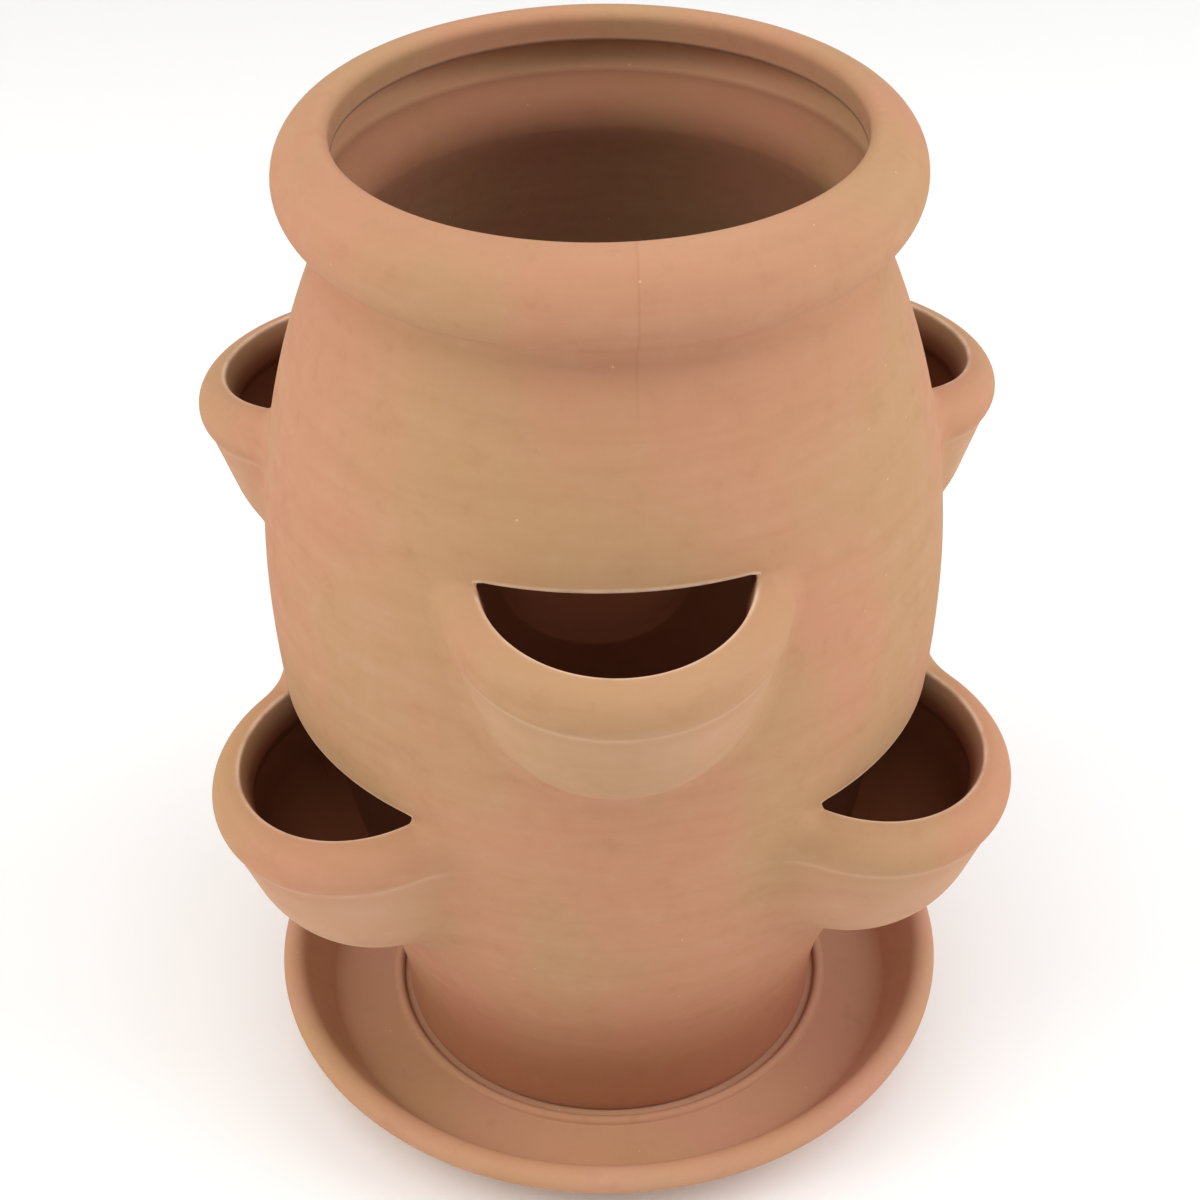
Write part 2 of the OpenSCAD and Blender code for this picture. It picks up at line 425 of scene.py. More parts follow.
@dataclass(frozen=True)
class PocketForm:
    """Sizes of one pocket, in mm, in its own frame whose height 0 is the plane of the lip's inner edge."""

    inset: float = 12.5
    lean: float = 9.0
    drop: float = 1.5
    mouth: float = 41.0
    collar: float = 52.3
    collar_round: float = 10.5
    band: float = 12.0
    taper: float = 2.5
    side_top: float = 51.6
    bowl: float = 47.25
    depth: float = 76.0
    wall: float = 8.0

    @property
    def collar_mid(self) -> Point:
        """Centre of the collar's rolled section."""
        r = self.collar - self.collar_round
        return r, -math.sqrt(self.collar_round**2 - (self.mouth - r) ** 2)

    @property
    def bowl_z(self) -> float:
        """Height of the bowl's centre."""
        return self.bowl - self.depth

    @property
    def hollow(self) -> float:
        """Radius of the bowl's hollow."""
        return self.bowl - self.wall

    @property
    def side_end(self) -> Point:
        """Point where the tapered side, which starts at the collar's middle, runs into the round bottom."""
        px, pz = self.side_top, self.collar_mid[1] - self.bowl_z
        gap = math.hypot(px, pz)
        turn = math.atan2(pz, px) - math.acos(self.bowl / gap)
        return self.bowl * math.cos(turn), self.bowl_z + self.bowl * math.sin(turn)

    @property
    def under_collar(self) -> Point:
        """Point of the crease where the collar's section meets the tapered side."""
        (cx, cz), (ex, ez) = self.collar_mid, self.side_end
        ux, uz = self.side_top - ex, cz - ez
        size = math.hypot(ux, uz)
        ux, uz = ux / size, uz / size
        along = (cx - ex) * ux + (cz - ez) * uz
        off = (cx - ex) * uz - (cz - ez) * ux
        back = along - math.sqrt(self.collar_round**2 - off * off)
        return ex + back * ux, ez + back * uz

    def hollow_distance(self, q: Array) -> Array:
        """Signed distance to the cup's hollow: band, upright side and round bottom.

        Args:
            q: Points in the cup's frame.

        Returns:
            The distance of each, negative inside the hollow.
        """
        r, z = np.hypot(q[..., 0], q[..., 1]), q[..., 2]
        low = np.hypot(r, z - self.bowl_z) - self.hollow
        side = r - self.hollow
        band = r - (self.mouth - self.taper * np.clip(-z / self.band, 0.0, 1.0))
        mix = ease(z, -self.band - 1.0, 1.0 - self.band)
        return np.where(z < self.bowl_z, low, (1.0 - mix) * side + mix * band)


@dataclass(frozen=True)
class PocketSeat:
    """Where one pocket sits: its azimuth in degrees and the height of its opening's straight top edge.

    The smear is how far the potter's thumb spread its clay on the barrel, in mm.
    """

    node: str
    azimuth: float
    edge: float
    smear: float = 10.0

    def to_local(self, points: Array, barrel: BarrelForm, cup: PocketForm) -> Array:
        """Turns points of the jar's frame into this pocket's own frame.

        Args:
            points: Points in the jar's frame.
            barrel: The barrel that the pocket sits on.
            cup: The pocket's form.

        Returns:
            The same points in the pocket's frame.
        """
        a, lean = math.radians(self.azimuth), math.radians(cup.lean)
        x = points[..., 0] * math.cos(a) + points[..., 1] * math.sin(a)
        y = points[..., 1] * math.cos(a) - points[..., 0] * math.sin(a)
        y = y - cup.inset + float(barrel.radius(np.array(self.edge)))
        z = points[..., 2] - (self.edge - cup.drop)
        ahead, up = y * math.cos(lean) + z * math.sin(lean), z * math.cos(lean) - y * math.sin(lean)
        return np.stack([x, ahead, up], axis=-1)

    def to_jar(self, points: Array, barrel: BarrelForm, cup: PocketForm) -> Array:
        """Turns points of this pocket's own frame into the jar's frame, with the arguments of to_local."""
        a, lean = math.radians(self.azimuth), math.radians(cup.lean)
        y = points[..., 1] * math.cos(lean) - points[..., 2] * math.sin(lean)
        z = points[..., 2] * math.cos(lean) + points[..., 1] * math.sin(lean) + self.edge - cup.drop
        y = y + cup.inset - float(barrel.radius(np.array(self.edge)))
        x = points[..., 0]
        return np.stack([x * math.cos(a) - y * math.sin(a), x * math.sin(a) + y * math.cos(a), z], axis=-1)


# Degrees from one pocket to the next, heights of the openings' top edges over the foot, and smears.
SPACING = 57.5
UPPER_EDGE = 255.5
LOWER_EDGE = 158.0
FRONT_SMEAR = 5.0
BACK_SMEAR = 6.0
SEATS = (
    PocketSeat("pocket_upper_front", 0.0, UPPER_EDGE, FRONT_SMEAR),
    PocketSeat("pocket_lower_front_right", SPACING, LOWER_EDGE),
    PocketSeat("pocket_upper_back_right", 2 * SPACING, UPPER_EDGE, BACK_SMEAR),
    PocketSeat("pocket_lower_back", 180.0, LOWER_EDGE),
    PocketSeat("pocket_upper_back_left", -2 * SPACING, UPPER_EDGE, BACK_SMEAR),
    PocketSeat("pocket_lower_front_left", -SPACING, LOWER_EDGE),
)


@dataclass(frozen=True)
class ClayJoint:
    """Soft fillet of clay smeared from a pocket on to the barrel while both were damp.

    Its section is the curve sqrt(a) + sqrt(b) = sqrt(k), with a the distance to the barrel and b the
    distance to the pocket, which touches both at the reach k. Past the barrel's end of the curve a
    short tail dips under the barrel's skin, so that no edge shows.
    """

    reach: float = 12.0
    edge_reach: float = 1.6
    spread: float = 10.0
    tail: float = 4.0
    tail_bend: float = 25.0

    def reach_at(self, past_lip: Array) -> Array:
        """Reach of the fillet at a distance outside the lip's edge, small at the cut edge itself."""
        return self.edge_reach + (self.reach - self.edge_reach) * ease(past_lip, 0.0, self.spread)

    def lift(self, height: Array, facing: Array, k: Array) -> Array:
        """How far a point of the pocket moves out along its direction on to the fillet.

        Formula: the smaller root t of sqrt(height + t facing) + sqrt(t) = sqrt(k). Past the curve's end
        t = k + e, with e the root of e^2 / (4 tail_bend) + facing e = -(height + k facing).

        Args:
            height: Signed distance of the point to the barrel's face, in mm.
            facing: Cosine between the direction of the move and the barrel's normal.
            k: Reach of the fillet there.

        Returns:
            The length of the move, in mm.
        """
        facing = np.maximum(facing, 0.0)
        gap = np.maximum(k - height, 0.0)
        root = gap / (np.sqrt(k) + np.sqrt(np.maximum(k - (1.0 - facing) * gap, 0.0)))
        under = np.maximum(-(height + k * facing), 0.0)
        past = 2.0 * self.tail_bend * (np.sqrt(facing * facing + under / self.tail_bend) - facing)
        on_curve = height + k * facing > 0.0
        return np.where(on_curve, np.minimum(root * root, k), k + np.minimum(past, self.tail))

    def last_height(self, facing: Array, k: Array) -> Array:
        """Height over the barrel of the last point that the tail still covers."""
        facing = np.maximum(facing, 0.0)
        return -(k * facing + self.tail * facing + self.tail**2 / (4.0 * self.tail_bend))


@dataclass
class Jar:
    """The thrown barrel with its rolled rim and the six openings cut through its wall.

    Each opening lies in a tile of the grid, which reaches below and above the opening's top edge by the
    tile's reach. The grid is replaced there by rings, whose middle lies middle_drop under that edge. The
    slack is the gap by which the opening is wider than the pocket's hollow.
    """

    barrel: BarrelForm
    cup: PocketForm
    seats: tuple[PocketSeat, ...]
    columns: int = 256
    row: float = 2.6
    edge_round: float = 1.3
    corner_round: float = 1.6
    slack: float = 0.35
    floor_corner: float = 6.0
    drain_round: float = 1.0
    middle_drop: float = 30.0
    tile_reach: Point = (-79.0, 14.0)
    # Paleness of the rows round each cut edge, for rubbing and a painted highlight.
    cut_edge_highlight: tuple[float, ...] = (0.55, 0.85, 1.0, 0.5)

    def lower_profile(self) -> Array:
        """Profile rows from the drain hole's lower edge, across the underside and round the foot."""
        b = self.barrel
        rim = b.foot - b.foot_round
        under = line((b.drain + self.drain_round, 0.0), (rim, 0.0), 8.0)
        return chain(under, arc((rim, b.foot_round), b.foot_round, -90, 0, 0.7))[:-1]

    def rim_profile(self) -> Array:
        """Profile rows of the neck's crease, the roll, the mouth's edge, the groove and the throat."""
        b, crease, roll = self.barrel, self.barrel.crease, self.barrel.roll_mid
        (neck_mid, _) = b.neck_arc
        edge = b.mouth + b.mouth_round
        round_mid = (edge, roll[1] + math.sqrt((b.roll - b.mouth_round) ** 2 - (edge - roll[0]) ** 2))
        groove = b.roll - b.wall
        lip = roll[1] + math.sqrt(groove**2 - (roll[0] - b.mouth) ** 2)
        to_neck, to_roll = direction(crease, neck_mid) % 360.0, direction(crease, roll)
        return chain(
            arc(crease, b.neck_round, to_neck, to_roll, 0.9)[1:],
            arc(roll, b.roll, to_roll - 180.0, direction(roll, round_mid), 1.8),
            arc(round_mid, b.mouth_round, direction(roll, round_mid), 180.0, 0.8),
            line((b.mouth, round_mid[1]), (b.mouth, lip), 1.6),
            arc(roll, groove, direction(roll, (b.mouth, lip)), to_roll - 180.0, 1.6),
            arc(crease, b.neck_round + b.wall, to_roll, to_neck, 2.2)[:-1],
        )

    def floor_profile(self, top: float) -> Array:
        """Profile rows of the floor inside the jar, from its rounded corner to the drain hole.

        Args:
            top: Height of the inner face's lowest row.

        Returns:
            Array of shape (n, 2).
        """
        b, corner, soft = self.barrel, self.floor_corner, self.drain_round
        r = float(b.radius(np.array(top), b.wall)) - corner
        d = b.drain + soft
        return chain(
            arc((r, b.floor + corner), corner, 0, -90, 1.6)[1:],
            line((r, b.floor), (d, b.floor), 8.0),
            arc((d, b.floor - soft), soft, 90, 180, 0.6),
            line((b.drain, b.floor - soft), (b.drain, soft), 3.0),
            arc((d, soft), soft, 180, 270, 0.6)[:-1],
        )

    def shaded(self, z: Array) -> Array:
        """How much painted shade lies on the inner face at heights z, from 0 to 1, darkest under the lip and
        deep down.

        Formula: 0.6 under the lip, fading to none between 14 and 74 mm down from the rim's top, and rising
        to 0.95 between 120 and 240 mm down.
        """
        down = self.barrel.height - z
        return 0.6 * (1.0 - ease(down, 14.0, 74.0)) + 0.95 * ease(down, 120.0, 240.0)

    def outer_face(self, azimuth: Array, z: Array) -> Array:
        """Points of the barrel's outer face at azimuths and heights above the foot."""
        return around(azimuth, self.barrel.radius(z), z)

    def inner_face(self, azimuth: Array, z: Array) -> Array:
        """Points of the barrel's inner face."""
        return around(azimuth, self.barrel.radius(z, self.barrel.wall), z)

    def opening(self, seat: PocketSeat, points: Array) -> Array:
        """Signed distance to an opening: the cup's hollow, cut off straight at the top, corners rounded."""
        hollow = self.cup.hollow_distance(seat.to_local(points, self.barrel, self.cup)) - self.slack
        return smooth_max(hollow, points[..., 2] - seat.edge, self.corner_round)

    @staticmethod
    def border(rows: tuple[int, int], cols: tuple[int, int]) -> tuple[Array, Array]:
        """Goes once round a tile of the grid, anticlockwise as seen from outside.

        Args:
            rows: The tile's first and last row.
            cols: The tile's first and last column.

        Returns:
            The row and the column of each point of the border.
        """
        (j0, j1), (k0, k1) = rows, cols
        across, up = np.arange(k0, k1), np.arange(j0, j1)
        j = np.concatenate([np.full(len(across), j0), up, np.full(len(across), j1), up[::-1] + 1])
        k = np.concatenate([across, np.full(len(up), k1), across[::-1] + 1, np.full(len(up), k0)])
        return j, k

    def cut_opening(
        self, shell: Shell, seat: PocketSeat, azimuth: Array, z: Array, outer: Array, inner: Array
    ) -> None:
        """Fills the tile round one opening with rings from the outer face through the cut to the inner face.

        Each ring follows rays from the opening's middle to the tile's border in azimuth and height.
        Both edges of the cut are quadratic curves, so they look smoothed with a wet finger.

        Args:
            shell: Receives the rings.
            seat: The pocket that the opening belongs to.
            azimuth: Azimuths of the tile's border.
            z: Heights of the tile's border.
            outer: Vertex numbers of the border on the outer face.
            inner: Vertex numbers of the border on the inner face.
        """
        mid_z = seat.edge - self.middle_drop
        mid_r = float(self.barrel.radius(np.array(mid_z)))
        ray = np.hypot(np.radians(azimuth - seat.azimuth) * mid_r, z - mid_z)

        def at(face: Callable[[Array, Array], Array], t: Array) -> Array:
            """Points of a face at shares t of the way from the opening's middle to the border."""
            return face(seat.azimuth + t * (azimuth - seat.azimuth), mid_z + t * (z - mid_z))

        def edge(face: Callable[[Array, Array], Array]) -> Array:
            """Share of the way at which each ray leaves the opening on a face."""
            near, far = np.zeros_like(ray), np.ones_like(ray)
            return bisect(lambda t: self.opening(seat, at(face, t)) > 0.0, near, far)

        outside, inside = self.outer_face, self.inner_face
        cut_out, cut_in, rub = edge(outside), edge(inside), self.edge_round / ray
        p_out, p_in = at(outside, cut_out), at(inside, cut_in)
        into = (p_in - p_out) / np.linalg.norm(p_in - p_out, axis=-1, keepdims=True)
        far_out, far_in = 1.0 - cut_out - rub, 1.0 - cut_in - rub
        wall_out, wall_in = p_out + into * self.edge_round, p_in - into * self.edge_round
        rubbed_out, rubbed_in = at(outside, cut_out + rub), at(inside, cut_in + rub)
        rows = [at(outside, cut_out + rub + far_out * w) for w in np.linspace(1.0, 0.0, 9)[1:] ** 1.35]
        rows += [bend(rubbed_out, p_out, wall_out, u) for u in (0.25, 0.5, 0.75, 1.0)]
        rows += [(1.0 - u) * wall_out + u * wall_in for u in (0.33, 0.66)]
        rows += [bend(wall_in, p_in, rubbed_in, u) for u in (0.0, 0.33, 0.66, 1.0)]
        rows += [at(inside, cut_in + rub + far_in * w) for w in np.linspace(0.0, 1.0, 5)[1:-1] ** 1.2]
        block = np.stack(rows)
        # The rows round each cut edge turn pale, for rubbing and a painted highlight.
        worn = np.zeros((len(rows), 1))
        worn[7:11, 0] = self.cut_edge_highlight
        row = np.arange(len(rows))[:, None]
        # Painted shade: the cut face darkens towards the inside, and the inner rows take the inner face's
        # painted shade.
        wall = self.shaded(block[..., 2])
        dark_cut, deep = ease(row, 9.0, 12.0), wall + (1.0 - wall) * ease(len(rows) - row, 0.0, 5.0)
        block[..., 2] += FOOT_Z
        numbers = shell.add(block, worn, np.where(row < 16, dark_cut, deep))
        shell.faces.append(grid_faces(np.concatenate([outer[None], numbers, inner[None]])))

    def profile_parts(self) -> tuple[dict[str, Array], Array, Array]:
        """Runs of the closed profile: foot, outer face, rim, inner face and floor.

        Returns:
            The runs by name, the heights of the outer face's rows, and the numbers of those heights that the
            inner face has too, from the top down.
        """
        b = self.barrel
        (neck_mid, neck) = b.neck_arc
        u = (np.array(b.crease) - neck_mid) / math.dist(b.crease, neck_mid)
        top_out, top_in = neck_mid + neck * u, neck_mid + (neck - b.wall) * u
        levels = np.linspace(b.foot_round, top_out[1], int((top_out[1] - b.foot_round) / self.row) + 1)
        held = np.flatnonzero((levels > b.floor + self.floor_corner) & (levels < top_in[1] - 1.0))[::-1]
        parts = {
            "foot": self.lower_profile(),
            "outer": np.stack([b.radius(levels), levels], axis=-1),
            "rim": self.rim_profile(),
            "inner": np.stack([b.radius(levels[held], b.wall), levels[held]], axis=-1),
            "floor": self.floor_profile(float(levels[held[-1]])),
        }
        return parts, levels, held

    def edge_highlight_and_shade(self, profile: Array, rim: int, inner: int) -> tuple[Array, Array]:
        """How pale and how dark each row of the profile is, for rubbing with a painted highlight and for
        painted shade.

        Args:
            profile: The whole profile, of shape (n, 2).
            rim: Number of the rim's first row.
            inner: Number of the inner face's first row.

        Returns:
            The two values for each row: the mouth's lower edge gets a pale line, for rubbing and a painted
                highlight, and what lies below it gets painted shade.
        """
        b, row, (r, z) = self.barrel, np.arange(len(profile)), profile.T
        lip = z[rim:inner][np.abs(r[rim:inner] - b.mouth) < 0.01].min()
        past_lip = (row >= rim) & (r < b.mouth + b.mouth_round) & (z < b.height - 0.3)
        under_lip = (row >= inner) | (past_lip & (z < lip - 0.1))
        # Painted shade: 0.2 on the throat band, and the inner face's painted shade under the lip; a pale line
        # at the lip's lower edge, for rubbing and a painted highlight.
        throat = 0.2 * ease(b.height - z, 1.5, 4.5) * past_lip
        worn = np.where(past_lip & ~under_lip, 0.45 * np.exp(-(((z - lip) / 0.9) ** 2)), 0.0)
        return worn, np.where(under_lip, self.shaded(z), throat)

    def tiles(self) -> list[tuple[PocketSeat, int, int]]:
        """Each seat, turned to 0 to 360 degrees, with the first and last column of its opening's tile."""
        turned = [replace(seat, azimuth=seat.azimuth % 360.0) for seat in self.seats]
        order = sorted(turned, key=lambda seat: seat.azimuth)
        here = [seat.azimuth for seat in order]
        between = zip([here[-1] - 360.0, *here], [*here, here[0] + 360.0])
        edges = [round((a + b) / 2.0 / 360.0 * self.columns) for a, b in between]
        return list(zip(order, edges[:-1], edges[1:]))

    def build(self, hand: ThrowingHand) -> bpy.types.Object:
        """Makes the jar's mesh: a closed profile turned round the axis, with a tile round each opening."""
        parts, levels, held = self.profile_parts()
        first = dict(zip(parts, np.cumsum([0, *map(len, parts.values())])))
        profile = np.concatenate(list(parts.values()))
        worn, inside = self.edge_highlight_and_shade(profile, first["rim"], first["inner"])
        shell = Shell()
        points = around(full_turn(self.columns), profile[:, :1], profile[:, 1:] + FOOT_Z)
        index = shell.add(points, worn[:, None], inside[:, None])
        open_cell = np.zeros(index.shape, bool)
        outer_of = first["outer"] + np.arange(len(levels))
        inner_of = np.full(len(levels), -1)
        inner_of[held] = first["inner"] + np.arange(len(held))
        for seat, k0, k1 in self.tiles():
            j0, j1 = (int(np.argmin(np.abs(levels - (seat.edge + d)))) for d in self.tile_reach)
            j, k = self.border((j0, j1), (k0, k1))
            outer, inner = index[outer_of[j], k % self.columns], index[inner_of[j], k % self.columns]
            self.cut_opening(shell, seat, k * 360.0 / self.columns, levels[j], outer, inner)
            tile = np.arange(k0, k1) % self.columns
            open_cell[np.ix_(outer_of[j0:j1], tile)] = True
            open_cell[np.ix_(inner_of[j0 + 1 : j1 + 1], tile)] = True
        shell.faces.insert(0, grid_faces(np.concatenate([index, index[:1]]))[~open_cell.reshape(-1)])
        return shell.bake("jar_body_clay", hand.shift)


@dataclass(frozen=True)
class CupSection:
    """A cup's profile, finely sampled by its length, with how its points move on to the fillet.

    The table's rows are the radius, the height, the direction of the move in radians up from level, the
    fillet's reach and the move's share, which fades out inside the lip.
    """

    crease: float
    lip: float
    length: Array
    table: Array

    def at(self, s: Array) -> list[Array]:
        """The table's rows at profile lengths s."""
        return [np.interp(s, self.length, row) for row in self.table]


@dataclass
class Pocket:
    """One planting pocket: a collared cup pressed on to the barrel's face.

    The widths of the pale lines, which stand for rubbing and a painted highlight, are lengths along the
    profile, and the heights are those over the barrel's face. The rows are shared out between the profile's
    marks: bowl, crease, collar, lip, band and hollow.
    """

    seat: PocketSeat
    barrel: BarrelForm
    cup: PocketForm
    joint: ClayJoint
    columns: int = 132
    samples: int = 1400
    sunk: float = 4.0
    lip_round: float = 1.3
    crease_round: float = 1.6
    step_drop: Point = (0.8, 1.0)
    hollow_start: Point = (1.0, 10.0)
    skin_height: float = 0.06
    lip_highlight_width: float = 0.8
    crease_highlight_width: float = 1.4
    pressed_height: float = 12.0
    rows: tuple[int, ...] = (52, 5, 22, 6, 8, 34)

    def profile(self) -> tuple[Array, float, float]:
        """Profile of the cup from the bowl's lowest point, up and over the lip, to the hollow's lowest point.

        Returns:
            The points (r, z), and the lengths along them of the crease under the collar and of the lip.
        """
        c, soft = self.cup, self.crease_round
        crease, mid, side_end = np.array(c.under_collar), c.collar_mid, c.side_end
        lip = np.array([c.mouth, 0.0])
        turn = math.degrees(self.lip_round / c.collar_round)
        down = np.array([-c.taper, -c.band]) / math.hypot(c.taper, c.band)
        rise = crease - side_end
        side_stop = crease - soft * rise / np.linalg.norm(rise)
        collar_start = direction(mid, tuple(crease)) + math.degrees(soft / c.collar_round)
        bottom = arc((0.0, c.bowl_z), c.bowl, -90.0, direction((0.0, c.bowl_z), side_end), 1.7)
        bowl = chain(bottom, line(side_end, tuple(side_stop), 1.7))
        collar = arc(mid, c.collar_round, collar_start, direction(mid, tuple(lip)) - turn, 1.2)
        t = np.linspace(0.0, 1.0, 5)[:, None]
        inner = lip + down * self.lip_round
        above, below = self.step_drop
        step_top, step_foot = (c.mouth - c.taper, above - c.band), (c.hollow, -c.band - below)
        points = chain(
            bowl,
            bend(bowl[-1], crease, collar[0], t),
            collar,
            bend(collar[-1], lip, inner, t),
            line(tuple(inner), step_top, 1.6),
            line(step_top, step_foot, 0.9),
            line(step_foot, (c.hollow, c.bowl_z), 2.0),
            arc((0.0, c.bowl_z), c.hollow, 0.0, -90.0, 2.0),
        )
        run = run_along(points)
        marks = (run[np.argmin(np.linalg.norm(points - mark, axis=1))] for mark in (crease, lip))
        return points, *(float(mark) for mark in marks)

    def over_barrel(self, points: Array) -> tuple[Array, Array]:
        """Where points of the cup's frame lie over the barrel.

        Args:
            points: Points in the cup's frame.

        Returns:
            Their height over the barrel's face, in mm, and the barrel's normal there, in the cup's frame.
        """
        jar = self.seat.to_jar(points, self.barrel, self.cup)
        r, slope = np.hypot(jar[..., 0], jar[..., 1]), self.barrel.slope(jar[..., 2])
        size = np.sqrt(1.0 + slope * slope)
        outward = np.stack([jar[..., 0] / r, jar[..., 1] / r, -slope], axis=-1) / size[..., None]
        outward = self.seat.to_local(outward, self.barrel, self.cup)
        origin = self.seat.to_local(np.zeros(3), self.barrel, self.cup)
        return (r - self.barrel.radius(jar[..., 2])) / size, outward - origin

    def section(self) -> CupSection:
        """Samples the profile and works out how its points move on to the fillet.

        The direction is square to the profile, held from just under the lip, and blurred along the profile
        so that the fillet runs smoothly over the crease.
        """
        profile, crease, lip = self.profile()
        run = run_along(profile)
        fine = np.linspace(0.0, run[-1], self.samples)
        r, z = (np.interp(fine, run, column) for column in profile.T)
        tilt = np.unwrap(np.arctan2(-np.gradient(r, fine), np.gradient(z, fine)))
        held = lip - 2.0 * self.lip_round
        tilt = np.where(fine < held, tilt, np.interp(held, fine, tilt))
        half, blur = 60, 5.0
        kernel = np.exp(-((np.arange(-half, half + 1) * (fine[1] - fine[0]) / blur) ** 2))
        tilt = np.convolve(np.pad(tilt, half, mode="edge"), kernel / kernel.sum(), mode="valid")
        share = 1.0 - ease(fine - lip, *self.hollow_start)
        return CupSection(crease, lip, fine, np.stack([r, z, tilt, self.joint.reach_at(lip - fine), share]))

    def placed(self, section: CupSection, angle: Array, s: Array) -> tuple[Array, Array]:
        """Puts points of the section round the cup and moves them on to the fillet.

        The barrel curves away under a long move, so each moved point is then set to its wanted height.

        Args:
            section: The cup's section.
            angle: Angles round the cup's axis, in degrees.
            s: Lengths along the section.

        Returns:
            The points in the cup's frame, and how far each lies over the last height that the joint covers.
        """
        r, z, tilt, k, share = section.at(s)
        flat, way = around(angle, r, z), around(angle, np.cos(tilt), np.sin(tilt))
        height, outward = self.over_barrel(flat)
        facing = (way * outward).sum(axis=-1)
        move = np.minimum(self.joint.lift(height, facing, k), k + self.joint.tail) * share
        spare = height - np.where(s <= section.lip, self.joint.last_height(facing, k), -self.sunk)
        moved = flat + move[..., None] * way
        real, outward = self.over_barrel(moved)
        return moved + (height + move * facing - real)[..., None] * outward, spare

    def column_angles(self, section: CupSection) -> Array:
        """Angles of the columns, as far round as the pocket shows and closer together at its sides.

        Args:
            section: The cup's section.

        Returns:
            The angles round the cup's axis, in degrees.
        """
        scan = np.linspace(60.0, 150.0, 1401)
        outside = section.length[section.length < section.lip]
        _, spare = self.placed(section, scan[:, None], outside[None, :])
        widest = scan[np.flatnonzero((spare > 0.0).any(axis=1))[-1]]
        return widest * np.sin(np.linspace(-np.pi / 2.0, np.pi / 2.0, self.columns))

    def row_lengths(self, section: CupSection, angle: Array) -> Array:
        """Shares out the rows of each column over the length of it that shows, between fixed marks.

        Args:
            section: The cup's section.
            angle: Angles of the columns.

        Returns:
            Lengths along the section, of shape (rows, columns).
        """
        fine, crease, lip = section.length, section.crease, section.lip
        dense, spare = self.placed(section, angle[:, None], fine[None, :])
        proud, peak = spare > 0.0, spare[:, fine < lip].argmax(axis=1)
        some = proud.any(axis=1)
        low = np.where(some, proud.argmax(axis=1), peak)
        high = np.where(some, len(fine) - 1 - proud[:, ::-1].argmax(axis=1), peak)
        low[[0, -1]] = high[[0, -1]] = peak[[0, -1]]
        fold, roll = self.crease_round, self.lip_round
        step_foot = lip + self.cup.band + self.step_drop[1]
        marks = (0.0, crease - fold, crease + fold, lip - roll, lip + roll, step_foot, fine[-1])
        s = np.zeros((sum(self.rows) + 1, len(angle)))
        for c, (length, *ends) in enumerate(zip(run_along(dense), fine[low], fine[high])):
            along = np.interp(np.clip(marks, *ends), fine, length)
            wanted = [np.linspace(a, b, n + 1)[:-1] for a, b, n in zip(along[:-1], along[1:], self.rows)]
            s[:, c] = np.clip(np.interp(np.concatenate([*wanted, along[-1:]]), length, fine), *ends)
        return s

    def build(self, hand: ThrowingHand) -> bpy.types.Object:
        """Makes the pocket's closed mesh.

        Each column is the section at one angle round the cup's axis. Its outer end runs out on the barrel
        in the smeared fillet and dips under its skin. Its inner end stops a few millimetres inside the
        wall. On the fillet's thin end the pocket is shaded as the barrel is, so that no seam shows.
        """
        section = self.section()
        angle = self.column_angles(section)
        s = self.row_lengths(section, angle)
        points, _ = self.placed(section, angle[None, :], s)
        height, outward = self.over_barrel(points)
        past_lip, past_crease = s - section.lip, s - section.crease
        on_skin = (1.0 - ease(height, 0.0, self.skin_height)) * (1.0 - ease(past_lip, 0.0, 3.0))
        # Pale lines at the lip and along the crease, for rubbing and a painted highlight.
        worn = np.exp(-((past_lip / self.lip_highlight_width) ** 2)) * ease(height, 0.0, 3.0)
        worn += 0.22 * np.exp(-((past_crease / self.crease_highlight_width) ** 2)) * ease(height, 0.0, 6.0)
        pressed = ease(height, 0.0, self.pressed_height) * (1.0 - ease(past_crease, -12.0, 8.0))
        # Painted shade in the pocket's hollow, from just past the lip inwards.
        inside = ease(past_lip, *self.hollow_start)
        here = (self.barrel, self.cup)
        skin = self.seat.to_jar(outward, *here) - self.seat.to_jar(np.zeros(3), *here)
        points = self.seat.to_jar(points, *here)
        points[..., 2] += FOOT_Z
        shell = Shell()
        index = shell.add(points, np.minimum(worn, 1.0), inside, pressed, skin * on_skin[..., None])
        shell.faces.append(grid_faces(np.concatenate([index, index[:1]]), closed=False))
        return shell.bake(f"{self.seat.node}_clay", hand.shift)


